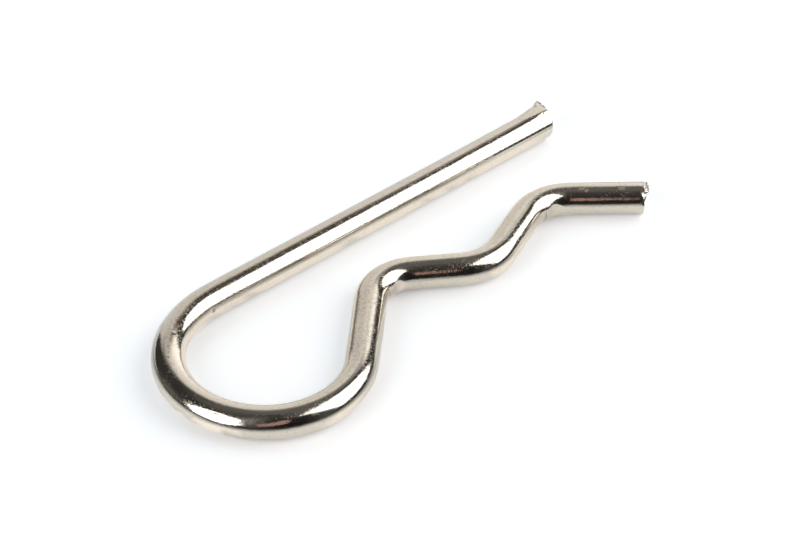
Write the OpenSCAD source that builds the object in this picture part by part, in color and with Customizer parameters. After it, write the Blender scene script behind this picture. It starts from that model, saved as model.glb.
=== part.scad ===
// Hitch pin clip: one length of round spring wire, bent flat, that holds a cross-drilled shaft.
// The straight leg goes through the shaft's hole and the waved leg snaps over the shaft's outside.
// The clip lies flat on its side. The straight leg runs along X with its free end at +X, the waved
// leg is on the -Y side, and the origin is under the middle of the clip, on the surface it lies on.

/* [Wire] */
// Diameter of the spring wire
wire_d = 4.76; // [3.5:0.02:6]

/* [Straight leg] */
// Length of the straight leg, from its sheared end to the start of the loop
leg_l = 63.7; // [56:0.1:90]

/* [Loop] */
// Centreline radius where the straight leg eases into the loop
lead_r = 16.9; // [14:0.1:24]
// Turn of that easing stretch, in degrees
lead_turn = 26; // [10:1:40]
// Centreline radius of the loop
loop_r = 13.8; // [12:0.1:17]
// Turn of the loop, in degrees
loop_turn = 106; // [80:1:120]
// Centreline radius where the loop closes towards the neck
close_r = 13; // [11:0.1:16]

/* [Waved leg] */
// Lean of the neck between the loop and the first bend, in degrees
neck_lean = 44.5; // [38:0.5:52]
// Lean of the stretch from the first bend down into the shaft seat, in degrees
drop_lean = 33.5; // [28:0.5:38]
// Lean of the stretch from the shaft seat up to the mouth, in degrees
rise_lean = 24; // [20:0.5:30]
// Lean of the flared tip, in degrees
tip_lean = 39.5; // [30:0.5:50]
// Length of the flared tip's straight stretch
tip_l = 10.9; // [6:0.1:18]
// Centreline radius of the first bend
throat_r = 6.4; // [5.2:0.1:7.5]
// Centreline radius of the bend at the bottom of the shaft seat
seat_r = 7.5; // [5.5:0.1:8.5]
// Centreline radius of the bend at the mouth
mouth_r = 7.4; // [5.5:0.1:8.5]

/* [Gaps between the legs] */
// Clear gap between the straight leg and the first bend
throat_gap = 8; // [5:0.1:9]
// Clear gap between the straight leg and the bottom of the shaft seat
seat_gap = 14.4; // [13.6:0.1:18]
// Clear gap between the straight leg and the bend at the mouth
mouth_gap = 9.7; // [6:0.1:11]

/* [Sheared ends] */
// Length over which the straight leg's end is spread by the shear
spread_l = 6; // [3:0.1:10]
// How far the shear spread the straight leg's end beyond the wire
spread = 0.22; // [0.05:0.01:0.25]
// Slope of the straight leg's end face, in degrees
leg_shear = 3; // [0:0.5:8]
// Height of the lip of burr that stands on the straight leg's end
leg_lip = 0.45; // [0.1:0.05:0.8]
// Thickness of that lip at its foot
lip_t = 0.6; // [0.3:0.05:1]
// Height of the torn wedge that stands on the flared tip's end
tip_tear = 0.7; // [0.2:0.05:1.5]
// Width of that wedge, measured across the wire from its high side
tear_w = 2; // [1:0.1:3]

/* [Tool marks] */
// Radius of the bending pin that marked the inside of the first and last bends
mark_r = 2; // [1.6:0.1:2.4]
// Depth of the marks that the bending pin left
mark_depth = 0.3; // [0.05:0.05:0.5]
// Depth of the nick just past the start of the loop
nick_depth = 0.15; // [0.05:0.05:0.3]
// Distance of the nick from the start of the loop
nick_at = 2.1; // [1:0.1:4]
// Radius of the ball-shaped thing that struck the nick
nick_r = 1.2; // [0.8:0.1:2]

/* [Hidden] */

$fn = 96;
wire_r = wire_d / 2;

// Finish: bright nickel plate
nickel = [0.78, 0.76, 0.71];

// Depth below the straight leg that a bend adds as the wire turns from one lean to another
function arc_depth(radius, from, to) = radius * (cos(from) - cos(to));
// Reach along the straight leg that the same bend adds
function arc_reach(radius, from, to) = radius * (sin(to) - sin(from));

// The neck and the two stretches after it are sprung to a bow so slight that they look straight.
// Each turns by this much, half on either side of its lean, in degrees
bow = 0.5;

// Leans of the wire where the loop's three arcs meet, and where the last one meets the neck
lead_end = lead_turn;
loop_end = lead_turn + loop_turn;
neck_from = neck_lean + bow / 2;
close_end = 180 + neck_from;

// Depths of the wire's centreline at the end of the loop and at the waved leg's three bends
loop_depth = arc_depth(lead_r, 0, lead_end) + arc_depth(loop_r, lead_end, loop_end)
           + arc_depth(close_r, loop_end, close_end);
throat_depth = throat_gap + wire_d;
seat_depth = seat_gap + wire_d;
mouth_depth = mouth_gap + wire_d;

// Long radius with which such a stretch covers a depth
function bow_r(depth, lean) =
    round(100 * depth / arc_depth(1, lean - bow / 2, lean + bow / 2)) / 100;

// Leans where the bows meet the bends
neck_to = neck_lean - bow / 2;
drop_from = drop_lean - bow / 2;
drop_to = drop_lean + bow / 2;
rise_from = rise_lean + bow / 2;
rise_to = rise_lean - bow / 2;
neck_r = bow_r(loop_depth - throat_depth - arc_depth(throat_r, 0, neck_to), neck_lean);
drop_r = bow_r(seat_depth - throat_depth - arc_depth(throat_r, 0, drop_from)
               - arc_depth(seat_r, 0, drop_to), drop_lean);
rise_r = bow_r(seat_depth - mouth_depth - arc_depth(seat_r, 0, rise_from)
               - arc_depth(mouth_r, 0, rise_to), rise_lean);

// How the wire is bent, from the straight leg's free end: each step is the length of a straight
// stretch, or the radius of a bend with its turn and the depth of the pin mark inside it.
// A turn to the left is positive.
steps = [
    [leg_l],
    [lead_r, lead_turn],
    [loop_r, loop_turn],
    [close_r, close_end - loop_end],
    [neck_r, -bow],
    [throat_r, -neck_to - drop_from, mark_depth],
    [drop_r, -bow],
    [seat_r, drop_to + rise_from],
    [rise_r, -bow],
    [mouth_r, -rise_to - tip_lean, mark_depth],
    [tip_l + tip_tear],
];
function is_straight(step) = len(step) == 1;

// Heading of the wire at the start of a step; the straight leg heads for the loop, along -X
function heading(i) =
    i == 0 ? 180 : heading(i - 1) + (is_straight(steps[i - 1]) ? 0 : steps[i - 1][1]);

// Centre of a bend that starts at a point with a heading
function bend_centre(point, from, step) =
    point + sign(step[1]) * step[0] * [-sin(from), cos(from)];

// Where a step leaves the wire's centreline
function step_end(point, from, step) = is_straight(step)
    ? point + step[0] * [cos(from), sin(from)]
    : bend_centre(point, from, step)
      + sign(step[1]) * step[0] * [sin(from + step[1]), -cos(from + step[1])];

// Start of a step's centreline. The clip's outline is centred on the origin: lengthwise from the
// lip on the straight leg's end to the loop's far side, and across from the spread end to the
// loop's lowest side.
burr_side = 30;
loop_reach = arc_reach(lead_r, 0, lead_end) + arc_reach(loop_r, lead_end, 90) + wire_r;
loop_bottom = arc_depth(lead_r, 0, lead_end) + arc_depth(loop_r, lead_end, loop_end)
            + arc_depth(close_r, loop_end, 180) + wire_r;
first = [
    leg_l - (leg_l + leg_lip - loop_reach) / 2,
    (loop_bottom - wire_r - spread * cos(burr_side)) / 2,
];
function start(i) = i == 0 ? first : step_end(start(i - 1), heading(i - 1), steps[i - 1]);

// Moves children by a rounded part and then by the small rest, which keeps every digit of the
// sum, so that the end faces of neighbouring stretches meet exactly
module place(point) {
    coarse = [round(point[0] * 100) / 100, round(point[1] * 100) / 100];
    translate([coarse[0], coarse[1], wire_r])
        translate([point[0] - coarse[0], point[1] - coarse[1], 0])
            children();
}

// Turns children that stand along +Z to lie along a heading, with their +X to its left and
// their +Y upwards
module lay(along) {
    rotate([0, 0, along]) rotate([90, 0, 90]) children();
}

module straight_stretch(i) {
    place(start(i)) rotate([0, 90, heading(i)]) cylinder(h = steps[i][0], r = wire_r);
}

module bent_stretch(i) {
    turn = steps[i][1];
    first_angle = turn > 0 ? heading(i) - 90 : heading(i) + 90 + turn;
    place(bend_centre(start(i), heading(i), steps[i]))
        rotate_extrude(angle = abs(turn), start = first_angle)
            translate([steps[i][0], 0]) rotate(-90) circle(r = wire_r);
}

// Bending pin, standing where it pressed its mark into the inside of a bend
module bending_pin(i) {
    turn = steps[i][1];
    middle = heading(i) + turn / 2 - sign(turn) * 90;
    depth = steps[i][2];
    place(bend_centre(start(i), heading(i), steps[i]))
        rotate([0, 0, middle])
            translate([steps[i][0] - wire_r + depth - mark_r, 0, -wire_d])
                cylinder(h = 2 * wire_d, r = mark_r);
}

// Ball that left the nick on the inside of the wire
module nick_ball() {
    turned = nick_at / lead_r * 180 / PI;
    place(bend_centre(start(1), heading(1), steps[1]))
        rotate([0, 0, heading(1) - 90 + turned])
            translate([lead_r - wire_r + nick_depth - nick_r, 0, 0])
                sphere(r = nick_r);
}

// Straight leg's end, seen along +Z from spread_l short of it: the shear leaned the last of the
// wire towards the burr's side, and the lip of burr stands round that side of the rim
module leg_spread() {
    rotate([0, 0, burr_side]) rotate([0, atan(spread / spread_l), 0])
        cylinder(h = spread_l + leg_lip, r = wire_r);
}
module leg_burr() {
    span = 110;
    proud = spread / 2;
    crest = lip_t / 3;
    translate([0, 0, spread_l])
        rotate([0, 0, burr_side - span / 2])
            rotate_extrude(angle = span)
                polygon([
                    [wire_r - lip_t, -lip_t],
                    [wire_r, -lip_t],
                    [wire_r + proud, leg_lip],
                    [wire_r + proud - crest, leg_lip],
                    [wire_r - lip_t, 0],
                ]);
}

// What the shear took off the straight leg's end: everything past the sloping face, and the
// edge that it rolled over on the side away from the burr
module leg_offcut() {
    roll_r = 1.5 * wire_r;
    roll_shift = 0.38 * wire_r;
    reach = 2 * wire_d;
    rotate([0, 0, burr_side]) {
        translate([0, 0, spread_l]) rotate([0, -leg_shear, 0])
            translate([-reach, -reach, 0]) cube([2 * reach, 2 * reach, reach]);
        difference() {
            translate([-reach, -reach, spread_l - wire_r]) cube([2 * reach, 2 * reach, reach]);
            translate([roll_shift, 0, spread_l - wire_r]) sphere(r = roll_r);
        }
    }
}

// What was torn off the flared tip, seen along +Z from its end: a square cut on one side, and a
// slope on the other that rises to the torn wedge, on the side towards the straight leg
module tip_offcut() {
    reach = 2 * wire_d;
    intersection() {
        translate([-reach, -reach, 0]) cube([2 * reach, 2 * reach, reach]);
        translate([wire_r - tear_w, 0, 0]) rotate([0, -atan(tip_tear / tear_w), 0])
            translate([-reach, -reach, 0]) cube([2 * reach, 2 * reach, reach]);
    }
}

// The whole wire
module clip_wire() {
    last = len(steps) - 1;
    leg_shoulder = first - [spread_l, 0];
    color(nickel)
    union() {
        difference() {
            union() {
                for (i = [0 : last])
                    if (is_straight(steps[i])) straight_stretch(i); else bent_stretch(i);
                place(leg_shoulder) lay(0) leg_spread();
            }
            place(leg_shoulder) lay(0) leg_offcut();
            place(step_end(start(last), heading(last), [tip_l])) lay(heading(last)) tip_offcut();
            for (i = [0 : last])
                if (len(steps[i]) == 3) bending_pin(i);
            nick_ball();
        }
        place(leg_shoulder) lay(0) leg_burr();
    }
}

clip_wire();
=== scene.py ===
"""Hitch pin clip: one bent length of nickel-plated spring wire, lying on a pale table."""

import math

import bpy
import numpy as np
from bpy.props import FloatProperty, FloatVectorProperty, PointerProperty
from bpy.types import Operator, Panel, PropertyGroup
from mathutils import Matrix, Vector


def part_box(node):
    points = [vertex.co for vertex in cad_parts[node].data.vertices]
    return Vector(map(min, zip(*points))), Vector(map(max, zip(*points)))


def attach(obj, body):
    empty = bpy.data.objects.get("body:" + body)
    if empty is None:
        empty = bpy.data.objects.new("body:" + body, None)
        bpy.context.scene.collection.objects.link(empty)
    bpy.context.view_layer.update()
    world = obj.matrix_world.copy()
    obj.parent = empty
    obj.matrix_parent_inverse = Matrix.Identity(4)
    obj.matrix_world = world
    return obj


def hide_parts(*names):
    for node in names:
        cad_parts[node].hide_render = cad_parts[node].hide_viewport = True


bl_info = {
    "name": "Hitch pin clip",
    "version": (1, 0, 0),
    "blender": (4, 5, 0),
    "location": "View3D > Sidebar > Hitch pin clip",
    "description": "Builds a nickel-plated hitch pin clip and the table it lies on",
    "category": "Object",
}

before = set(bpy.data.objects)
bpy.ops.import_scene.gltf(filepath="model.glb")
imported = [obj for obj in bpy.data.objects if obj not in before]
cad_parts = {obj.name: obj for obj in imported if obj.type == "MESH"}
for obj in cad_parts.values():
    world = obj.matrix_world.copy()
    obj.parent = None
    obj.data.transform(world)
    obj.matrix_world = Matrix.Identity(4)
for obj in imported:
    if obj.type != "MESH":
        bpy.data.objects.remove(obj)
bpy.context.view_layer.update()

MM = 0.001
NODE = "clip_wire"
WIRE_NAME = "clip_wire_plated"
WIRE_UV = "along_wire"


def length(name, description, mm):
    """A size in metres, given here in millimetres."""
    return FloatProperty(
        name=name, description=description, default=mm * MM, min=0.0, unit="LENGTH", precision=5
    )


def angle(name, description, degrees):
    """An angle in radians, given here in degrees."""
    return FloatProperty(
        name=name, description=description, default=math.radians(degrees), subtype="ANGLE"
    )


def colour(name, description, rgb):
    """A linear colour."""
    return FloatVectorProperty(
        name=name, description=description, default=rgb, min=0.0, max=1.0, subtype="COLOR"
    )


class HITCHPIN_PG_wire(PropertyGroup):
    """Sizes of the bent wire."""

    wire_d: length("Wire diameter", "Diameter of the spring wire", 4.76)
    leg_l: length("Straight leg", "Length from the sheared end to the loop", 63.7)
    lead_r: length("Lead radius", "Centreline radius where the leg eases into the loop", 16.9)
    lead_turn: angle("Lead turn", "Turn of that easing stretch", 26)
    loop_r: length("Loop radius", "Centreline radius of the loop", 13.8)
    loop_turn: angle("Loop turn", "Turn of the loop", 106)
    close_r: length("Closing radius", "Centreline radius where the loop closes", 13)
    neck_lean: angle("Neck lean", "Lean of the neck after the loop", 44.5)
    drop_lean: angle("Drop lean", "Lean of the stretch down into the shaft seat", 33.5)
    rise_lean: angle("Rise lean", "Lean of the stretch up to the mouth", 24)
    tip_lean: angle("Tip lean", "Lean of the flared tip", 39.5)
    tip_l: length("Tip length", "Length of the flared tip's straight stretch", 10.9)
    throat_r: length("Throat radius", "Centreline radius of the first bend", 6.4)
    seat_r: length("Seat radius", "Centreline radius of the shaft seat's bend", 7.5)
    mouth_r: length("Mouth radius", "Centreline radius of the bend at the mouth", 7.4)
    throat_gap: length("Throat gap", "Clear gap at the first bend", 8)
    seat_gap: length("Seat gap", "Clear gap at the shaft seat", 14.4)
    mouth_gap: length("Mouth gap", "Clear gap at the mouth", 9.7)
    ease: length("Ease", "Length over which the wire eases from straight into a bend", 2.2)


class HITCHPIN_PG_marks(PropertyGroup):
    """Sizes of the cut ends and of the marks in the wire."""

    flare: length("Flare", "How far the shear spread the straight leg's end", 0.46)
    flare_l: length("Flare length", "Length of that spread", 5.5)
    leg_lip: length("Leg lip", "How far the lip of burr stands out past the spread", 0.46)
    leg_lip_l: length("Leg lip length", "Length of the lip along the wire", 0.75)
    leg_roll: length("Rolled edge", "Rounding of the lower edge of the straight leg's end", 0.75)
    tip_tear: length("Tip tear", "Height of the torn wedge on the flared tip", 0.66)
    dent: length("Bend mark", "Depth of the bending pin's flat inside a bend", 0.28)
    dent_l: length("Bend mark length", "Length of that flat", 1.4)
    nick: length("Nick", "Depth of the nick past the start of the loop", 0.06)
    scrape: length("Scrape", "Depth of the scraped spots", 0.006)


class HITCHPIN_PG_finish(PropertyGroup):
    """Colours of the wire and of the table."""

    nickel: colour("Nickel plate", "Colour of the bright plating", (0.73, 0.675, 0.59))
    steel: colour("Bare steel", "Colour of the steel where it was sheared", (0.78, 0.74, 0.67))
    rust: colour("Rust", "Colour of the scraped spots", (0.5, 0.38, 0.27))
    # the grime colour is also painted shade in the bending pins' creases, and paints spots darker
    grime_and_shade: colour("Grime", "Colour of the dirt in pits and creases", (0.15, 0.115, 0.06))
    table: colour("Table", "Colour of the table", (0.93, 0.93, 0.93))


# ---------------------------------------------------------------- the wire's path

PATH_STEP = 0.02 * MM
END_ROOM = 3 * MM  # how far the path runs on past each end
CAD_LIP = 0.45 * MM  # how far the CAD part's lip of burr stands past its square cut
CAD_SPREAD = 0.22 * MM  # how far the CAD part's end is spread
CAD_BURR_SIDE = math.radians(30)  # the burr's side, up from the outer side


def turn_drop(from_lean, to_lean):
    """Depth that a bend of radius 1 adds while the wire turns from one lean to another."""
    return math.cos(from_lean) - math.cos(to_lean)


def straight_l(depth, lean):
    """Length of a straight stretch that covers a depth at a lean."""
    return depth / math.sin(lean)


def bend(radius, turn):
    """Length and turn of a bend, whose length is its radius times its turn."""
    return radius * abs(turn), turn


def bend_steps(w):
    """The wire's stretches from its sheared end, each by name with its length and its turn.

    A straight stretch turns by nothing. Each straight stretch of the waved leg is as long as
    the depths of the bends on either side of it need.
    """
    loop_end = w.lead_turn + w.loop_turn
    close_end = math.pi + w.neck_lean
    loop_depth = (
        w.lead_r * turn_drop(0, w.lead_turn)
        + w.loop_r * turn_drop(w.lead_turn, loop_end)
        + w.close_r * turn_drop(loop_end, close_end)
    )
    throat_depth = w.throat_gap + w.wire_d
    seat_depth = w.seat_gap + w.wire_d
    mouth_depth = w.mouth_gap + w.wire_d
    neck_depth = loop_depth - throat_depth - w.throat_r * turn_drop(0, w.neck_lean)
    drop_depth = seat_depth - throat_depth - (w.throat_r + w.seat_r) * turn_drop(0, w.drop_lean)
    rise_depth = seat_depth - mouth_depth - (w.seat_r + w.mouth_r) * turn_drop(0, w.rise_lean)
    return {
        "leg": (w.leg_l, 0.0),
        "lead": bend(w.lead_r, w.lead_turn),
        "loop": bend(w.loop_r, w.loop_turn),
        "close": bend(w.close_r, close_end - loop_end),
        "neck": (straight_l(neck_depth, w.neck_lean), 0.0),
        "throat": bend(w.throat_r, -w.neck_lean - w.drop_lean),
        "drop": (straight_l(drop_depth, w.drop_lean), 0.0),
        "seat": bend(w.seat_r, w.drop_lean + w.rise_lean),
        "rise": (straight_l(rise_depth, w.rise_lean), 0.0),
        "mouth": bend(w.mouth_r, -w.rise_lean - w.tip_lean),
        "tip": (w.tip_l, 0.0),
    }


def running_mean(values, width):
    """Mean of the values over a window of odd width, with the end values carried on outwards."""
    side = width // 2
    padded = np.concatenate([np.full(side, values[0]), values, np.full(side, values[-1])])
    return np.convolve(padded, np.full(2 * side + 1, 1.0 / (2 * side + 1)), "valid")


def running_sum(values):
    """Sum up to each value, where each step adds the mean of the values at its two ends."""
    steps = (values[1:] + values[:-1]) / 2
    return np.concatenate([np.zeros_like(values[:1]), np.cumsum(steps, 0)])


class Path:
    """Centreline of the wire on a fine even grid of distance, in the plane of the clip.

    Its curvature is each bend's turn over its length, averaged over the easing length. The
    heading is the running sum of curvature, and the place is the running sum of the heading's
    cosine and sine. The straight leg starts at its sheared end and heads along -X.
    """

    def __init__(self, w, start):
        """Sums the curvature into headings, and the headings into places from the start."""
        steps = bend_steps(w)
        ends = np.cumsum([size for size, _ in steps.values()])
        self.ends = dict(zip(steps, ends))
        self.total = ends[-1]
        self.s = np.arange(-END_ROOM, self.total + END_ROOM, PATH_STEP)
        which = np.searchsorted(ends, self.s).clip(0, len(steps) - 1)
        curvature = np.array([turn / size for size, turn in steps.values()])[which]
        curvature = running_mean(curvature, int(w.ease / PATH_STEP))
        self.heading = math.pi + running_sum(curvature) * PATH_STEP
        along = np.stack([np.cos(self.heading), np.sin(self.heading)], 1)
        place = running_sum(along) * PATH_STEP
        origin = [np.interp(0.0, self.s, place[:, k]) for k in range(2)]
        self.place = place - origin + np.array(start)

    def at(self, s):
        """Centre, direction and left-hand normal at each distance, as rows of x, y, z."""
        heading = np.interp(s, self.s, self.heading)
        flat = np.zeros_like(heading)
        centre = np.stack([np.interp(s, self.s, self.place[:, k]) for k in range(2)] + [flat], -1)
        along = np.stack([np.cos(heading), np.sin(heading), flat], -1)
        left = np.stack([-np.sin(heading), np.cos(heading), flat], -1)
        return centre, along, left


def wire_path(w):
    """The wire's path, whose square-cut end lies a burr's lip short of the CAD part's end."""
    _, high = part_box(NODE)
    start_x = high.x - CAD_LIP
    start_y = high.y - w.wire_d / 2 - CAD_SPREAD * math.cos(CAD_BURR_SIDE)
    return Path(w, (start_x, start_y))


# ---------------------------------------------------------------- shaping the surface


def smooth(low, high, x):
    """0 below low, 1 above high, and 3t^2 - 2t^3 between them."""
    t = np.clip((x - low) / (high - low), 0.0, 1.0)
    return t * t * (3 - 2 * t)


def bump(centre, width, x):
    """A bell: exp(-((x - centre) / width)^2)."""
    return np.exp(-(((x - centre) / width) ** 2))


def read_off(points, x):
    """The value at x on straight lines through (x, value) points, held at both ends."""
    places, values = zip(*points)
    return np.interp(x, places, values)


def turned(phi, centre):
    """Signed angle from centre to phi, between -pi and pi."""
    return (phi - centre + np.pi) % (2 * np.pi) - np.pi


def side_lobe(phi, centre, half_width):
    """1 at an angle round the wire, falling to 0 at the half width as a squared cosine."""
    off = np.minimum(np.abs(turned(phi, centre)) / half_width, 1)
    return np.cos(off * np.pi / 2) ** 2


def grain(s, phi, size_s, around, seed):
    """Smooth noise on the wire, about 1 in spread: a sum of 24 waves.

    Each wave is cos(a s + b phi + c), where b is a whole number, so it closes round the wire.
    The wavelengths are near size_s along the wire and near a full turn over `around` round it.
    """
    draw = np.random.default_rng(seed)
    out = np.zeros(np.broadcast(s, phi).shape)
    waves = 24
    for _ in range(waves):
        a = draw.normal() * 2 * np.pi / size_s
        b = round(draw.normal() * around)
        out += np.cos(a * s + b * phi + draw.uniform(0, 2 * np.pi))
    return out / math.sqrt(waves / 2)


def mesh_object(name, places, faces):
    """A smooth-shaded mesh object at the origin from rows of places and of faces."""
    mesh = bpy.data.meshes.new(name)
    mesh.from_pydata(places, [], faces)
    mesh.polygons.foreach_set("use_smooth", np.full(len(mesh.polygons), True))
    mesh.update()
    made = bpy.data.objects.new(name, mesh)
    bpy.context.scene.collection.objects.link(made)
    return made


def point_values(mesh, name, values):
    """Keeps one value for each point of the mesh, under a name that its material reads."""
    attribute = mesh.attributes.new(name, "FLOAT", "POINT")
    attribute.data.foreach_set("value", np.asarray(values, np.float32))


def tube_faces(rows, around):
    """Quads of a closed tube of rows by around points, and the fans to its two pole points.

    The poles are the last two points. Quads are wound so that they face outwards.
    """
    first = np.arange((rows - 1) * around).reshape(rows - 1, around)
    beside = np.roll(first, -1, 1)
    quads = np.stack([first, first + around, beside + around, beside], -1).reshape(-1, 4)
    ring = np.arange(around)
    nxt = np.roll(ring, -1)
    start_pole = rows * around
    end_pole = start_pole + 1
    last = (rows - 1) * around
    start_fan = np.stack([ring, nxt, np.full(around, start_pole)], 1)
    end_fan = np.stack([nxt + last, ring + last, np.full(around, end_pole)], 1)
    return quads, start_fan, end_fan


def grid_faces(rows, columns):
    """Quads of an open grid of rows by columns points."""
    corner = (np.arange(rows - 1)[:, None] * columns + np.arange(columns - 1)).ravel()
    return np.stack([corner, corner + columns, corner + columns + 1, corner + 1], -1)


# ---------------------------------------------------------------- materials


class Nodes:
    """Short calls that add nodes to a material or world and link them."""

    def __init__(self, owner):
        """Starts from an empty node tree."""
        owner.use_nodes = True
        self.tree = owner.node_tree
        self.tree.nodes.clear()

    def put(self, node, key, value):
        """Links the node's input to a socket, or sets it to a plain value."""
        if isinstance(value, bpy.types.NodeSocket):
            self.tree.links.new(value, node.inputs[key])
        else:
            node.inputs[key].default_value = value

    def add(self, kind, inputs=None, **settings):
        """Adds a node, sets its settings, and sets or links its inputs by name or number."""
        node = self.tree.nodes.new(kind)
        for key, value in settings.items():
            setattr(node, key, value)
        for key, value in (inputs or {}).items():
            self.put(node, key, value)
        return node

    def attribute(self, name):
        """The value that the mesh keeps under a name."""
        return self.add("ShaderNodeAttribute", attribute_name=name).outputs["Fac"]

    def math(self, operation, a, b, clamp=False):
        """One Math node's result."""
        return self.add(
            "ShaderNodeMath", {0: a, 1: b}, operation=operation, use_clamp=clamp
        ).outputs[0]

    def times(self, a, b, clamp=False):
        """The product of two values."""
        return self.math("MULTIPLY", a, b, clamp)

    def most(self, a, b):
        """The larger of two values."""
        return self.math("MAXIMUM", a, b)

    def mix(self, share, a, b):
        """Colour a where share is 0 and colour b where it is 1."""
        node = self.add("ShaderNodeMix", {0: share}, data_type="RGBA")
        self.put(node, 6, a)
        self.put(node, 7, b)
        return node.outputs[2]

    def noise(self, vector, scale, detail, roughness=0.5):
        """A noise texture's value on the given coordinates."""
        return self.add(
            "ShaderNodeTexNoise",
            {"Vector": vector, "Scale": scale, "Detail": detail, "Roughness": roughness},
        ).outputs["Fac"]

    def ramp(self, value, low, high, low_out=0.0, high_out=1.0):
        """The value, mapped from low..high to low_out..high_out and held at both ends."""
        return self.add(
            "ShaderNodeMapRange", {0: value, 1: low, 2: high, 3: low_out, 4: high_out}
        ).outputs[0]


def opaque(rgb):
    """The colour with an alpha of 1."""
    return (*rgb, 1.0)


def plate_relief(n, place, patches, bare):
    """Relief of the plating: orange peel, fine grain, drawing lines, pits and torn steel.

    The drawing lines are a noise stretched along the wire. The fine grain is stronger in the
    dull patches, and the torn steel shows where the wire is bare.
    """
    along = n.add("ShaderNodeUVMap", uv_map=WIRE_UV).outputs["UV"]
    lines = n.add("ShaderNodeMapping", {"Vector": along, "Scale": (120.0, 9000.0, 1.0)})
    drawn = n.noise(lines.outputs["Vector"], 1.0, 2.0)
    peel = n.noise(place, 1500.0, 2.0, 0.6)
    fine = n.times(n.noise(place, 2600.0, 2.0, 0.55), n.ramp(patches, 0, 1, 0.35, 1.0))
    pits = n.ramp(n.noise(place, 3000.0, 1.0, 0.4), 0.14, 0.3)
    torn = n.times(n.noise(place, 4200.0, 4.0, 0.75), bare)
    relief = None
    for height, depth in (
        (peel, 0.005 * MM),
        (fine, 0.016 * MM),
        (drawn, 0.0007 * MM),
        (pits, 0.009 * MM),
        (torn, 0.1 * MM),
    ):
        inputs = {"Height": height, "Distance": depth, "Strength": 1.0}
        if relief:
            inputs["Normal"] = relief
        relief = n.add("ShaderNodeBump", inputs).outputs[0]
    return relief


def nickel_plate(finish):
    """Bright nickel: a mirror with fine relief, dull flecks, soiling, painted shade and scraped
    spots.

    The plating's colour gives way to bare steel, then to the grime colour, then to rust, by
    the share of each. The grime colour is soiling in the small marks and painted shade in the
    bending pins' creases, and it paints some spots and a line darker. Rust fills the scraped
    spots and shows faintly in flecks elsewhere. The roughness is the largest of the plating's
    own and of each share times its roughness.
    """
    material = bpy.data.materials.new("nickel_plate")
    n = Nodes(material)
    place = n.add("ShaderNodeTexCoord").outputs["Object"]
    height = n.add("ShaderNodeSeparateXYZ", {0: place}).outputs["Z"]
    bare = n.attribute("bare")
    scraped = n.ramp(n.noise(place, 2400.0, 2.0, 0.6), 0.35, 0.65, -0.85, 0.25)
    scraped = n.math("ADD", n.attribute("rust"), scraped, clamp=True)

    uneven = n.ramp(n.noise(place, 1900.0, 3.0, 0.65), 0.35, 0.65, 0.6, 1.3)
    shown_dirt_and_shade = n.times(n.attribute("dirt_and_shade"), uneven, clamp=True)
    patches = n.ramp(n.noise(place, 260.0, 2.0, 0.55), 0.35, 0.65)
    patches = n.most(patches, n.times(shown_dirt_and_shade, 4.0, clamp=True))
    flecks = n.ramp(n.noise(place, 3100.0, 2.0, 0.6), 0.52, 0.38)
    flecks = n.times(flecks, n.ramp(patches, 0, 1, 0.4, 1.0))
    flecks = n.times(flecks, n.ramp(height, 2.8 * MM, 4 * MM, 0.45, 1.0))
    mottle = n.ramp(n.noise(place, 850.0, 3.0, 0.65), 0.45, 0.7, 0, 0.07)
    dirt_and_shade = n.math("ADD", shown_dirt_and_shade, n.times(mottle, patches))
    dirt_and_shade = n.most(dirt_and_shade, n.times(flecks, 0.12))

    tint = n.mix(bare, opaque(finish.nickel), opaque(finish.steel))
    # the grime colour: soiling, and painted shade in the bending pins' creases
    tint = n.mix(dirt_and_shade, tint, opaque(finish.grime_and_shade))
    tint = n.mix(scraped, tint, opaque(finish.rust))
    rough = n.ramp(n.noise(place, 420.0, 3.0, 0.6), 0.35, 0.75, 0.07, 0.15)
    for share, roughness in ((bare, 0.34), (scraped, 0.75), (flecks, 0.36)):
        rough = n.most(rough, n.times(share, roughness))
    relief = plate_relief(n, place, patches, bare)
    shader = n.add(
        "ShaderNodeBsdfPrincipled",
        {"Base Color": tint, "Metallic": 1.0, "Roughness": rough, "Normal": relief},
    )
    n.add("ShaderNodeOutputMaterial", {"Surface": shader.outputs[0]})
    return material


# ---------------------------------------------------------------- the wire's marks

LEG_HIGH_SIDE = math.radians(131)  # the burr's side of the straight leg, up and outwards
TIP_HIGH_SIDE = math.radians(96)  # the torn side of the tip, on top
INSIDE_RIGHT = math.pi  # the inside of a bend to the right
# height of the torn wedge by angle in degrees from the torn side
TEAR_RISE = [(-180, 0), (-100, 0.25), (-50, 0.75), (-22, 1), (18, 1), (66, 0), (180, 0)]
NICK_PAST_LEG = 2.1 * MM
NICK_SIDE = math.radians(11)


def pin_marks(path):
    """Where the bending pin's crease and the middle of its flat lie, in the first and last bend."""
    neck_end = path.ends["neck"]
    rise_end = path.ends["rise"]
    return [
        (neck_end + 2.4 * MM, neck_end + 5.35 * MM),
        (rise_end + 2.43 * MM, rise_end + 4.9 * MM),
    ]


def small_marks(marks, path):
    """Place, side, half length, half width, depth and soiling of each small mark.

    They are the nick, two blisters, a speck and a scratch, in order along the wire.
    """
    leg_end = path.ends["leg"]
    return [
        (leg_end + NICK_PAST_LEG, NICK_SIDE, 0.42 * MM, 0.19, marks.nick, 0.25),
        (leg_end + 11.4 * MM, math.radians(75), 0.32 * MM, 0.13, -0.6 * marks.nick, 0),
        (leg_end + 11.6 * MM, math.radians(49), 0.22 * MM, 0.09, -0.4 * marks.nick, 0),
        (leg_end + 16.6 * MM, math.radians(92), 0.18 * MM, 0.07, 0.2 * marks.nick, 0.95),
        (leg_end + 29 * MM, math.radians(132), 0.6 * MM, 0.05, 0.2 * marks.nick, 0.95),
    ]


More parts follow.
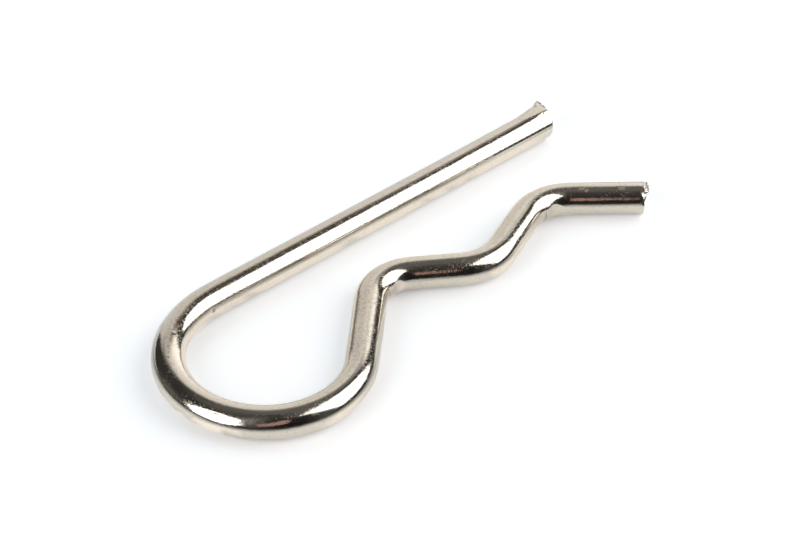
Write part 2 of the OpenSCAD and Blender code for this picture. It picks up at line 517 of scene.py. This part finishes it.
def darkened_places(path):
    """Middle, side, half length, half width and strength of each spot painted darker in the grime
    colour.
    """
    leg_end = path.ends["leg"]
    mouth_end = path.ends["mouth"]
    return [
        # five spots on the loop's left that deepen the dark band of its reflection
        (leg_end + 8.9 * MM, math.radians(74), 2 * MM, 0.19, 0.95),
        (leg_end + 10.6 * MM, math.radians(65), 1 * MM, 0.2, 0.9),
        (leg_end + 12.3 * MM, math.radians(80), 1.6 * MM, 0.14, 0.75),
        (leg_end + 14.3 * MM, math.radians(86), 1.6 * MM, 0.12, 0.55),
        (leg_end + 12 * MM, math.radians(92), 5 * MM, 0.12, 0.25),
        # tarnish specks before the mouth
        (mouth_end - 2.4 * MM, math.radians(98), 2 * MM, 0.12, 0.35),
    ]


def scrape_places(path):
    """Middle, side and half length of the nick and of each spot where the plating is torn."""
    mouth_end = path.ends["mouth"]
    return [
        (path.ends["leg"] + NICK_PAST_LEG, NICK_SIDE, 0.45 * MM),
        (mouth_end + 2.1 * MM, math.radians(106), 1.0 * MM),
        (mouth_end + 7.7 * MM, math.radians(105), 0.85 * MM),
    ]


def sample_distances(marks, path):
    """Distances along the wire for the rings: fine at the ends and marks, coarser between.

    Each place has the gap it wants between rings, averaged along the wire. A ring stands
    wherever the running sum of step over gap passes a whole number.
    """
    coarse, mid, fine = 0.46 * MM, 0.22 * MM, 0.06 * MM
    zones = []
    for crease, flat in pin_marks(path):
        zones += [(flat, 3.2 * MM, mid), (crease, 0.5 * MM, fine)]
    zones += [(at, 3 * half, 1.8 * fine) for at, _, half, *_ in small_marks(marks, path)]
    zones += [(at, half + 0.6 * MM, 2 * fine) for at, _, half in scrape_places(path)]
    zones += [(0.0, 3.2 * MM, fine), (path.total, 2.4 * MM, fine)]

    step = 0.01 * MM
    window = 81
    knots = np.arange(0, path.total, step)
    gap = np.full(knots.shape, coarse)
    for middle, reach, wanted in zones:
        gap = np.where(np.abs(knots - middle) < reach, wanted, gap)
    gap = running_mean(gap, window)
    count = np.concatenate([[0.0], np.cumsum(step / gap)[:-1]])
    return np.interp(np.linspace(0, count[-1], int(count[-1])), count, knots)


def lip_shape(phi):
    """Ragged share of the lip of burr round the straight leg's rim."""
    rag = 1 + 0.28 * grain(phi * 0, phi, 1.0, 11, 3)
    burr = side_lobe(phi, LEG_HIGH_SIDE - 0.05, math.radians(46)) ** 0.7
    rest = side_lobe(phi, math.radians(84), math.radians(58))
    return (burr + 0.16 * rest) * np.clip(rag, 0.4, 1.3)


def leg_end_relief(marks, s, phi):
    """What the shear added to and took off the radius at the straight leg's end.

    It is the spread towards the burr, which fades over the flare length, and a slight swell of
    the outer side, which fades over a third of the leg. To them come the lip of burr, with a
    ragged crease behind it, and a quarter circle rolled off the opposite edge.
    """
    spread = side_lobe(phi, LEG_HIGH_SIDE, math.radians(64))
    out = marks.flare * spread * (1 - smooth(-0.2, 1, s / marks.flare_l)) ** 1.2
    swell = side_lobe(phi, math.radians(118), math.radians(66))
    swell_l = 24 * MM
    out = out + 0.2 * MM * swell * np.clip(1 - s / swell_l, 0, 1) ** 1.2
    lip = lip_shape(phi)
    out = out + marks.leg_lip * lip * (1 - smooth(0.05, 1, s / marks.leg_lip_l))
    crease = bump(1.35 * marks.leg_lip_l, 0.17 * MM, s)
    out = out - 0.11 * MM * lip * crease * (1 + 0.7 * grain(s, phi, 0.7 * MM, 9, 5))
    low_side = np.maximum(-np.cos(turned(phi, LEG_HIGH_SIDE)), 0)
    roll = np.maximum(marks.leg_roll * low_side**0.7, 1e-9)
    inside = np.clip(1 - s / roll, 0, 1)
    return out - roll * (1 - np.sqrt(np.maximum(1 - inside**2, 0)))


def tip_end_relief(path, s, phi):
    """What the shear took off the radius at the flared tip's end, and how torn it is there.

    It is a short bevel on the far side, a wider shallow one over the top, and ragged grain on
    the torn side.
    """
    total = path.total
    bevel = side_lobe(phi, math.radians(140), math.radians(42)) * smooth(total - 0.45 * MM, total, s)
    shallow = side_lobe(phi, math.radians(125), 1.1) * smooth(total - 0.6 * MM, total, s)
    torn = smooth(total - 0.9 * MM, total, s) * side_lobe(phi, TIP_HIGH_SIDE, math.radians(60))
    ragged = 0.07 * MM * grain(s, phi, 0.5 * MM, 10, 17) - 0.04 * MM
    return torn * ragged - 0.16 * MM * bevel - 0.1 * MM * shallow, torn


def cut_pin_marks(w, marks, path, s, phi, radius):
    """The radius cut by each bending pin's flat and crease, and the shade painted into the crease
    and into a strip just before it.

    A flat of depth d cuts the radius to (r - d) / cos(angle from its middle). Its depth is a
    bell along the wire, and the crease is a thin bell ahead of it.
    """
    r = w.wire_d / 2
    away = turned(phi, INSIDE_RIGHT)
    dirt_and_shade = np.zeros_like(radius)
    for crease_at, flat_at in pin_marks(path):
        flat = r - marks.dent * bump(flat_at, marks.dent_l, s)
        flat = flat / np.maximum(np.cos(away), 0.2)
        radius = np.minimum(radius, np.where(np.abs(away) < 1.2, flat, radius))
        crease = bump(crease_at, 0.15 * MM, s) * side_lobe(phi, INSIDE_RIGHT + 0.2, 0.65) ** 0.4
        radius = radius - 0.03 * MM * crease
        beside = bump(crease_at - 0.45 * MM, 0.3 * MM, s) * (np.abs(away) < 0.5)
        # painted shade: the crease and a strip just before it are darkened in the grime colour
        dirt_and_shade += 0.9 * crease + 0.15 * beside
    return radius, dirt_and_shade


def leg_dark_line(s, phi):
    """A thin line painted darker, in the grime colour, on the upper side of the straight leg and
    the start of the loop.

    It is a bell round the wire, faded in and out along it.
    """
    along = smooth(30 * MM, 42 * MM, s) * (1 - smooth(68 * MM, 73 * MM, s))
    return 0.62 * along * bump(0, 0.15, turned(phi, math.radians(79)))


def wire_radius(w, marks, path, s, phi):
    """Distance of the surface from the centreline, and the shares that are bare, rusty, or in
    the grime colour for soiling and painted shade.

    The radius is the wire's plus the relief of both sheared ends, less the bending pin's marks,
    the small marks and the scraped spots. Each mark is a bell along the wire times one round it.
    """
    radius = w.wire_d / 2 + leg_end_relief(marks, s, phi)
    radius, dirt_and_shade = cut_pin_marks(w, marks, path, s, phi, radius)
    rust = np.zeros_like(radius)

    for at, side, half, half_width, depth, dirty in small_marks(marks, path):
        pit = bump(at, half, s) * bump(0, half_width, turned(phi, side))
        radius -= depth * pit
        dirt_and_shade += dirty * smooth(0.25, 0.75, pit)

    for at, side, half in scrape_places(path):
        spot = bump(at, half, s) * bump(0, 0.2, turned(phi, side))
        scraped = smooth(0.15, 0.85, spot)
        radius -= marks.scrape * scraped
        rust = np.maximum(rust, scraped)

    # spots painted darker in the grime colour
    for at, side, half, half_width, strength in darkened_places(path):
        spot = strength * bump(at, half, s) * bump(0, half_width, turned(phi, side))
        dirt_and_shade = np.maximum(dirt_and_shade, spot)
    # a thin line painted darker along the top of the straight leg
    dirt_and_shade = np.maximum(dirt_and_shade, leg_dark_line(s, phi))

    relief, torn = tip_end_relief(path, s, phi)
    lip = (1 - smooth(0.3, 0.95, s / marks.leg_lip_l)) * lip_shape(phi)
    bare = 0.9 * torn + 0.9 * lip
    return radius + relief, np.clip(bare, 0, 1), np.clip(dirt_and_shade, 0, 1), rust


def leg_face(w, share, phi):
    """How far the straight leg's end face stands past its square cut.

    It slopes by 3 degrees, low on the rolled side, and the lip of burr leans out round the rim.
    """
    slope = math.tan(math.radians(3)) * w.wire_d / 2
    lip = 0.42 * MM * lip_shape(phi) * share**5
    tilt = slope * (share * np.cos(turned(phi, LEG_HIGH_SIDE)) - 1)
    return lip + tilt + 0.03 * MM * share * grain(share, phi, 0.4, 7, 22)


def tip_face(marks, share, phi):
    """How far the flared tip's end face stands past its square cut.

    It rises to the torn wedge on top, whose edge falls off steadily on the near side.
    """
    rise = read_off(TEAR_RISE, np.degrees(turned(phi, TIP_HIGH_SIDE)))
    rag = 1 + 0.16 * grain(phi * 0, phi, 1.0, 15, 31)
    return marks.tip_tear * rise * rag * share**2 + 0.03 * MM * share * grain(share, phi, 0.4, 7, 32)


# ---------------------------------------------------------------- the wire

AROUND = 144  # points round the wire
FACE_RINGS = 14  # rings from each end face's rim to its middle
FACE_REACH = 1.4 * MM  # how far along the wire an end face's lean carries on


def wire_surface(w, marks, path):
    """Distance along, angle round and distance from the centreline of each point, and its shares.

    Rows run from the middle of the leg's end face, along the wire, to the middle of the tip's.
    Both faces are rings that shrink towards the centreline.
    """
    s = sample_distances(marks, path)
    phi = np.arange(AROUND) * 2 * np.pi / AROUND
    side_s, side_phi = np.meshgrid(s, phi, indexing="ij")
    radius, bare, dirt_and_shade, rust = wire_radius(w, marks, path, side_s, side_phi)
    rim = np.ones_like(side_s)
    near = 1 - smooth(0, FACE_REACH, side_s)
    far = smooth(path.total - FACE_REACH, path.total, side_s)
    leg_shift = near * leg_face(w, rim, side_phi)
    tip_shift = far * tip_face(marks, rim, side_phi)

    share = np.linspace(1, 0, FACE_RINGS + 1)[1:-1]
    tip_share, face_phi = np.meshgrid(share, phi, indexing="ij")
    leg_share = tip_share[::-1]
    leg_s = -leg_face(w, leg_share, face_phi)
    tip_s = path.total + tip_face(marks, tip_share, face_phi)
    along = np.concatenate([leg_s, side_s - leg_shift + tip_shift, tip_s])
    around = np.concatenate([face_phi, side_phi, face_phi])
    out = np.concatenate([radius[0] * leg_share, radius, radius[-1] * tip_share])
    none = np.zeros_like(tip_share)
    full = np.ones_like(tip_share)
    shares = {
        "bare": np.concatenate([full, bare, full]),
        "dirt_and_shade": np.concatenate([none, dirt_and_shade, none]),
        "rust": np.concatenate([none, rust, none]),
    }
    return along, around, out, shares


def with_poles(values):
    """The grid's values in one row, then the means of its first and last rows for the poles."""
    return np.concatenate([values.ravel(), [values[0].mean(), values[-1].mean()]])


def wire_places(path, along, around, out, lift):
    """Places of the surface's points, then of the two poles that close the end faces.

    A point lies its distance out from the centreline, at its angle from the left-hand normal
    up. All are lifted onto the table and kept a hair inside the CAD part's box.
    """
    centre, _, left = path.at(along)
    up = np.array([0.0, 0.0, 1.0])
    sideways = (out * np.cos(around))[..., None] * left
    upwards = (out * np.sin(around))[..., None] * up
    poles, _, _ = path.at(np.array([along[0].mean(), along[-1].mean()]))
    places = np.concatenate([(centre + sideways + upwards).reshape(-1, 3), poles])
    places = places + lift * up
    low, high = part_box(NODE)
    hair = 0.001 * MM
    return np.clip(places, np.array(low) + hair, np.array(high) - hair)


def lay_uv(mesh, along, around, quads, r):
    """UV coordinates in metres: the distance along the wire, and the distance round it."""
    uv_along = with_poles(along)
    uv_around = np.concatenate([around.ravel() * r, [0.0, 0.0]])
    corners = np.empty(len(mesh.loops), np.int32)
    mesh.loops.foreach_get("vertex_index", corners)
    uv = np.stack([uv_along[corners], uv_around[corners]], 1)
    # the last quad of each ring closes the turn, so its far side is a full turn on
    quad_uv = uv[: quads.size].reshape(-1, AROUND, 4, 2)
    quad_uv[:, -1, 2:, 1] = 2 * np.pi * r
    layer = mesh.uv_layers.new(name=WIRE_UV)
    layer.data.foreach_set("uv", uv.astype(np.float32).ravel())


class HITCHPIN_OT_wire(Operator):
    """Bends the wire, with its sheared ends and tool marks, and plates it"""

    bl_idname = "hitchpin.wire"
    bl_label = "Wire"

    def execute(self, context):
        """Makes the wire's mesh from its surface grid and its two poles, and plates it."""
        w = context.scene.hitchpin_wire
        r = w.wire_d / 2
        path = wire_path(w)
        along, around, out, shares = wire_surface(w, context.scene.hitchpin_marks, path)
        places = wire_places(path, along, around, out, r)
        quads, start_fan, end_fan = tube_faces(len(along), AROUND)
        faces = [*quads.tolist(), *start_fan.tolist(), *end_fan.tolist()]
        wire = mesh_object(WIRE_NAME, places.tolist(), faces)
        lay_uv(wire.data, along, around, quads, r)
        for name, values in shares.items():
            point_values(wire.data, name, with_poles(values))
        wire.data.materials.append(nickel_plate(context.scene.hitchpin_finish))
        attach(wire, "root")
        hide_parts(NODE)
        return {"FINISHED"}


# ---------------------------------------------------------------- the stage

AIM = Vector((3.07 * MM, 4.08 * MM, 0.0))
VIEW_AZIMUTH = math.radians(-40.728)
VIEW_ELEVATION = math.radians(39.957)
VIEW_DISTANCE = 403.3 * MM
LENS_MM = 126.0
SENSOR_MM = 36.0
WHITE = (1.0, 1.0, 1.0)

# outlines in degrees of azimuth, to the right of straight away from the camera, and elevation
SOFTBOX_LEFT = [(-157, 14), (-152, 44), (-132, 53), (-112, 46), (-105, 16), (-115, 1), (-143, 1)]
SOFTBOX_RIGHT = [
    (57, 15), (72, 11.5), (92, 9.5), (112, 10), (118, 25), (125, 38), (131, 46), (141, 56),
    (124, 65), (105, 67), (78, 67), (62, 64), (53, 58), (50, 46), (55, 36), (55, 25),
]
FILL_BEHIND = [(-85, 16), (-85, 62), (-40, 74), (5, 62), (5, 16)]
WARM_WALL = [
    (163.7, 29), (163.7, 42.5), (171, 43.5), (176, 38), (181, 32), (190, 29), (191, 15),
    (182, 17), (174, 20), (168, 22),
]

# brightness of the backdrop by azimuth, how much higher it counts by azimuth, its fade by that
# height, and its right end by elevation
BACKDROP_ACROSS = [
    (-40, 0.66), (-14, 0.72), (-5, 0.82), (2, 0.9), (10, 0.97), (18, 1.18), (26, 1.36),
    (34, 1.42), (44, 1.35),
]
BACKDROP_LIFT = [
    (-36, 16), (-30, 12), (-20, 2), (-10, -4), (0, -3), (8, 0), (18, 3), (30, 4), (40, 6),
]
BACKDROP_FADE = [(38, 1), (42, 0.88), (46, 0.58), (50, 0.33), (54, 0.15), (60, 0.05), (66, 0)]
BACKDROP_RIGHT = [(0, 36), (15, 38), (28, 38), (45, 32), (60, 24)]
UPRIGHT_LEVEL = [(0, 0), (6, 0.02), (14, 0.06), (34, 0.13), (54, 0.19), (64, 0.08), (75, 0.02)]

# painted pool and glints of the table in the wire's reflections, by distance from it in millimetres
LIT_BY_GAP = [
    (5, 1), (7, 0.88), (9, 0.7), (12, 0.45), (15, 0.35), (20, 0.24), (30, 0.1), (45, 0.03),
]
PAINTED_GLINT_BY_GAP = [(10, 1), (14, 0.85), (19, 0.4), (35, 0)]
CLOSE_PAINTED_GLINT_BY_GAP = [(5, 1), (6, 0.95), (7.5, 0.68), (10, 0.25), (16, 0)]
# and by bearing from the wire in degrees
PAINTED_GLINT_BY_BEARING = [
    (-180, 0.27), (-165, 0.27), (-160, 0.1), (-140, 0.1), (-134, 0.4), (-111, 0.38),
    (-90, 0.14), (-5, 0.12), (5, 0.28), (30, 0.28), (45, 0.18), (90, 0.18), (108, 0.25),
    (118, 0.05), (140, 0.05), (148, 0.28), (180, 0.27),
]
LEFT_PAINTED_GLINT = [(-166, 0), (-160, 0.62), (-142, 0.62), (-136, 0)]
RIGHT_PAINTED_GLINT = [(108, 0), (116, 0.45), (140, 0.48), (147, 0)]


def toward(azimuth, elevation):
    """Unit vector from the clip, at an azimuth to the right of straight away from the camera."""
    a = -VIEW_AZIMUTH + azimuth
    return Vector(
        (
            math.sin(a) * math.cos(elevation),
            math.cos(a) * math.cos(elevation),
            math.sin(elevation),
        )
    )


def glow(name, rgb):
    """A material that gives off plain even light, as strong as its mesh's level attribute says."""
    material = bpy.data.materials.new(name)
    n = Nodes(material)
    light = n.add("ShaderNodeEmission", {"Color": opaque(rgb), "Strength": n.attribute("level")})
    n.add("ShaderNodeOutputMaterial", {"Surface": light.outputs[0]})
    return material


def lit_mesh(name, directions, distance, faces, levels, rgb):
    """A mesh of light round the clip, from (azimuth, elevation) rows in degrees.

    The camera doesn't see it, and it throws no shadow.
    """
    places = [tuple(AIM + toward(a, e) * distance) for a, e in np.radians(directions)]
    made = mesh_object(name, places, faces)
    point_values(made.data, "level", levels)
    made.data.materials.append(glow(name, rgb))
    made.visible_camera = False
    made.visible_shadow = False
    return made


def card(name, outline, distance, rgb, level):
    """A card that spans an outline of (azimuth, elevation) corners, as a patch of a sphere.

    Each edge is split, and the rings shrink from the outline to its middle.
    """
    corners = np.array(outline, float)
    ahead = np.roll(corners, -1, 0)
    share = np.linspace(0, 1, 13)[:-1, None]
    edge = np.concatenate([a + (b - a) * share for a, b in zip(corners, ahead)])
    middle = corners.mean(0)
    shrink = np.linspace(1, 0, 9)[:-1]
    rings = middle + (edge - middle) * shrink[:, None, None]
    directions = np.concatenate([rings.reshape(-1, 2), [middle]])
    around = len(edge)
    rows = len(shrink)
    ring = np.arange(around)
    start = np.arange(rows - 1)[:, None] * around
    nxt = (ring + 1) % around
    quads = np.stack(
        [start + ring, start + nxt, start + around + nxt, start + around + ring], -1
    ).reshape(-1, 4)
    last = (rows - 1) * around
    fan = np.stack([last + ring, last + nxt, np.full(around, rows * around)], -1)
    levels = np.full(len(directions), level)
    return lit_mesh(name, directions, distance, [*quads.tolist(), *fan.tolist()], levels, rgb)


def backdrop_level(azimuth, elevation):
    """Brightness of the pale backdrop behind the clip, by direction in degrees.

    It grows from left to right, fades out upwards and to the upper left, and ends at the sides.
    """
    low = 1 + 0.1 * (1 - smooth(0, 25, elevation))
    fade = read_off(BACKDROP_FADE, elevation + read_off(BACKDROP_LIFT, azimuth))
    past_right = azimuth - read_off(BACKDROP_RIGHT, elevation)
    sides = smooth(-39, -36, azimuth) * (1 - smooth(-1.5, 2.5, past_right))
    return read_off(BACKDROP_ACROSS, azimuth) * low * fade * sides


def room_level(azimuth, elevation):
    """Brightness of the dark room, by direction in degrees.

    The ceiling is dim grey, the side towards the camera is darker, and a dim upright shape
    stands to the camera's left.
    """
    ahead = 0.5 + 0.5 * np.cos(np.radians(azimuth - 10))
    dark = bump(157, 19, azimuth) * (1 - smooth(34, 50, elevation))
    walls = 0.032 + 0.012 * ahead - 0.021 * dark
    ceiling = smooth(50, 66, elevation) * (0.03 + 0.06 * ahead - 0.022 * bump(165, 24, azimuth))
    halo = 0.06 * bump(92, 34, azimuth) * bump(71, 5, elevation)
    low = 1 - smooth(0, 34, elevation)
    side = (0.12 * bump(-86, 13, azimuth) + 0.06 * bump(126, 9, azimuth)) * low
    upright = bump(-158, 13, azimuth) * read_off(UPRIGHT_LEVEL, elevation)
    return walls + ceiling + halo + side + upright


def room():
    """The dark room and the pale backdrop, as a dome over the table."""
    azimuth, elevation = np.meshgrid(np.arange(-180, 181, 3.0), np.arange(-2, 90, 2.0), indexing="ij")
    levels = room_level(azimuth, elevation) + backdrop_level(azimuth, elevation)
    faces = grid_faces(*azimuth.shape)[:, ::-1]
    directions = np.stack([azimuth.ravel(), elevation.ravel()], -1)
    made = lit_mesh("room", directions, 0.9, faces.tolist(), levels.ravel(), (1.0, 0.975, 0.94))
    made.active_material.cycles.emission_sampling = "NONE"


def near_wire(w, points):
    """Distance in millimetres from each table point to the wire, and its bearing from there.

    The bearing is in degrees, 0 straight away from the camera and growing to the right.
    """
    path = wire_path(w)
    wire, _, _ = path.at(np.linspace(0, path.total, 160))
    offset = points[:, None] - wire[None, :, :2]
    gap = np.linalg.norm(offset, axis=2)
    nearest = gap.argmin(1)
    rows = np.arange(len(points))
    offset = offset[rows, nearest]
    away = np.array(toward(0, 0).xy)
    right = np.array(toward(math.pi / 2, 0).xy)
    return gap[rows, nearest] / MM, np.degrees(np.arctan2(offset @ right, offset @ away))


def painted_table_light(gap, bearing):
    """How lit each table point is in the wire's reflections, and the strengths of its pale and warm
    glints.

    Both are painted light: the lit share is a painted pool of light that falls with the distance
    from the wire, save straight behind it. The glints are strongest close to the wire, each over
    its own bearings.
    """
    behind = smooth(-84, -52, bearing) * (1 - smooth(34, 44, bearing))
    close = read_off(CLOSE_PAINTED_GLINT_BY_GAP, gap)
    wide = read_off(PAINTED_GLINT_BY_BEARING, bearing) * read_off(PAINTED_GLINT_BY_GAP, gap)
    return {
        "lit": np.maximum(read_off(LIT_BY_GAP, gap), behind),
        "pale": wide + read_off(LEFT_PAINTED_GLINT, bearing) * close,
        "warm": read_off(RIGHT_PAINTED_GLINT, bearing) * close,
    }


def table_surface(finish):
    """White cloth, lifted for the camera, and with painted light and shade for the wire's
    reflections.

    A reflection sees the cloth by its lit share of a painted pool, a painted near black by the
    rest, and painted glints on top. Light that has already met the cloth leaves the glints out,
    so they don't light it.
    """
    material = bpy.data.materials.new("table")
    n = Nodes(material)
    rays = n.add("ShaderNodeLightPath").outputs
    cloth = n.add("ShaderNodeBsdfDiffuse", {"Color": opaque(finish.table)}).outputs[0]
    lift = n.times(rays["Is Camera Ray"], 0.34)
    seen = n.add("ShaderNodeEmission", {"Color": opaque(WHITE), "Strength": lift})
    plain = n.add("ShaderNodeAddShader", {0: cloth, 1: seen.outputs[0]}).outputs[0]

    # painted shade: reflections see the table fade to near black away from the wire
    painted_shade_table = n.add("ShaderNodeEmission", {"Strength": 0.03}).outputs[0]
    painted_reflected_table = n.add("ShaderNodeMixShader", {0: n.attribute("lit"), 1: painted_shade_table, 2: cloth})
    # painted glints on the table, which only the wire's reflections see
    direct = n.math("SUBTRACT", 1.0, rays["Diffuse Depth"], clamp=True)
    for name, rgb in (("pale", (1, 0.98, 0.95)), ("warm", (1, 0.92, 0.83))):
        strength = n.times(n.attribute(name), direct)
        painted_glint = n.add("ShaderNodeEmission", {"Color": opaque(rgb), "Strength": strength})
        painted_reflected_table = n.add("ShaderNodeAddShader", {0: painted_reflected_table.outputs[0], 1: painted_glint.outputs[0]})
    glossy = rays["Is Glossy Ray"]
    both = n.add("ShaderNodeMixShader", {0: glossy, 1: plain, 2: painted_reflected_table.outputs[0]})
    n.add("ShaderNodeOutputMaterial", {"Surface": both.outputs[0]})
    material.cycles.emission_sampling = "NONE"
    return material


def table(scene):
    """The table, as a square grid whose lines stand closer near the clip.

    A line at share u lies at the half width times sinh(4.5 u) / sinh(4.5).
    """
    half_width = 0.7
    crowding = 4.5
    line = half_width * np.sinh(crowding * np.linspace(-1, 1, 141)) / math.sinh(crowding)
    x, y = np.meshgrid(line, line, indexing="ij")
    places = np.stack([x.ravel(), y.ravel(), np.zeros(x.size)], -1)
    made = mesh_object("table", places.tolist(), grid_faces(*x.shape).tolist())
    gap, bearing = near_wire(scene.hitchpin_wire, places[:, :2])
    for name, values in painted_table_light(gap, bearing).items():
        point_values(made.data, name, values)
    made.data.materials.append(table_surface(scene.hitchpin_finish))


def camera(scene):
    """The camera, which looks at the aim from the view's distance and direction."""
    lens = bpy.data.cameras.new("camera")
    lens.lens = LENS_MM
    lens.sensor_width = SENSOR_MM
    lens.clip_start = 0.01
    lens.clip_end = 10.0
    made = bpy.data.objects.new("camera", lens)
    scene.collection.objects.link(made)
    away = toward(0.0, -VIEW_ELEVATION)
    made.location = AIM - away * VIEW_DISTANCE
    made.rotation_mode = "QUATERNION"
    made.rotation_quaternion = away.to_track_quat("-Z", "Y")
    scene.camera = made


def studio(scene):
    """The world, white to the camera only."""
    world = bpy.data.worlds.new("studio")
    scene.world = world
    n = Nodes(world)
    seen = n.add("ShaderNodeLightPath").outputs["Is Camera Ray"]
    plain = n.add("ShaderNodeBackground", {"Color": opaque(WHITE), "Strength": seen})
    n.add("ShaderNodeOutputWorld", {"Surface": plain.outputs[0]})


class HITCHPIN_OT_stage(Operator):
    """Sets up the camera, the pale table, the softboxes and the dark room round them"""

    bl_idname = "hitchpin.stage"
    bl_label = "Stage"

    def execute(self, context):
        """Makes the stage; the cards' distances are in metres and their levels are radiances."""
        scene = context.scene
        scene.view_settings.view_transform = "Standard"
        camera(scene)
        table(scene)
        studio(scene)
        room()
        card("softbox_left", SOFTBOX_LEFT, 0.7, WHITE, 2.6)
        card("softbox_right", SOFTBOX_RIGHT, 0.7, WHITE, 2.2)
        fill = card("fill_behind", FILL_BEHIND, 0.8, (0.7, 0.85, 1), 1.0)
        fill.visible_glossy = False
        warm = card("warm_wall", WARM_WALL, 0.28, (1.0, 0.62, 0.55), 0.44)
        warm.visible_diffuse = False
        return {"FINISHED"}


# ---------------------------------------------------------------- the add-on


class HITCHPIN_PT_panel(Panel):
    """Lists the operators and the sizes in the sidebar"""

    bl_label = "Hitch pin clip"
    bl_idname = "HITCHPIN_PT_panel"
    bl_space_type = "VIEW_3D"
    bl_region_type = "UI"
    bl_category = "Hitch pin clip"

    def draw(self, context):
        """Draws a button for each operator, and a box of sizes for each group."""
        for made in OPERATORS:
            self.layout.operator(made.bl_idname)
        for name in GROUPS:
            group = getattr(context.scene, name)
            box = self.layout.box()
            for key in group.bl_rna.properties.keys():
                if key not in ("rna_type", "name"):
                    box.prop(group, key)


OPERATORS = (HITCHPIN_OT_stage, HITCHPIN_OT_wire)
GROUPS = {
    "hitchpin_wire": HITCHPIN_PG_wire,
    "hitchpin_marks": HITCHPIN_PG_marks,
    "hitchpin_finish": HITCHPIN_PG_finish,
}


def register():
    """Adds the property groups, the operators and the panel, and hangs the groups on scenes."""
    for made in (*GROUPS.values(), *OPERATORS, HITCHPIN_PT_panel):
        bpy.utils.register_class(made)
    for name, group in GROUPS.items():
        setattr(bpy.types.Scene, name, PointerProperty(type=group))


def unregister():
    """Takes them all away again, in the opposite order."""
    for name in GROUPS:
        delattr(bpy.types.Scene, name)
    for made in (HITCHPIN_PT_panel, *reversed(OPERATORS), *reversed(list(GROUPS.values()))):
        bpy.utils.unregister_class(made)


def main():
    register()
    bpy.ops.hitchpin.stage()
    bpy.ops.hitchpin.wire()


if __name__ == "__main__":
    main()
